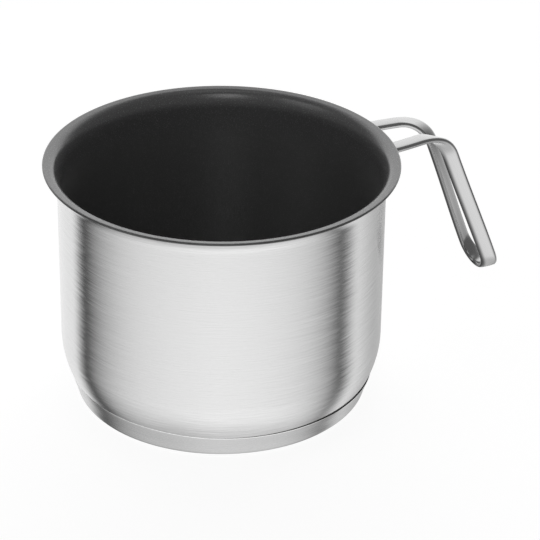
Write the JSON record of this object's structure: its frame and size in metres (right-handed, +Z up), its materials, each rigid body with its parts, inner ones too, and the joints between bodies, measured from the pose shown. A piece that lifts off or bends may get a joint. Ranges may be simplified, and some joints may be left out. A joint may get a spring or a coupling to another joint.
{
  "type": "cooking pot",
  "caption": "Small straight-sided steel cooking pot with a flared pouring lip, dark non-stick inside, layered base and a bent strip loop handle.",
  "frame": {"origin": "centre of the flat underside of the base, where the pot stands on the hob", "axes": "+Z up along the pot's axis, +X out along the handle, so the pot is mirror-symmetric about the XZ plane"},
  "size_m": [0.2189, 0.1542, 0.1093],
  "materials": {
    "body_steel": "fine circular brushing, satin",
    "lining": "dark non-stick coat, finely pebbled, semi-matt",
    "core": "plain rolled",
    "cap_steel": "satin, turned",
    "handle_steel": "satin, brushed along the strip",
    "weld_steel": "heat-tinted spot weld"
  },
  "bodies": {
    "root": {"pot_body": "body_steel", "nonstick_lining": "lining", "heat_core": "core", "base_cap": "cap_steel", "loop_handle": "handle_steel", "weld_left_upper": "weld_steel", "weld_left_lower": "weld_steel", "weld_right_upper": "weld_steel", "weld_right_lower": "weld_steel"}
  },
  "joints": []
}
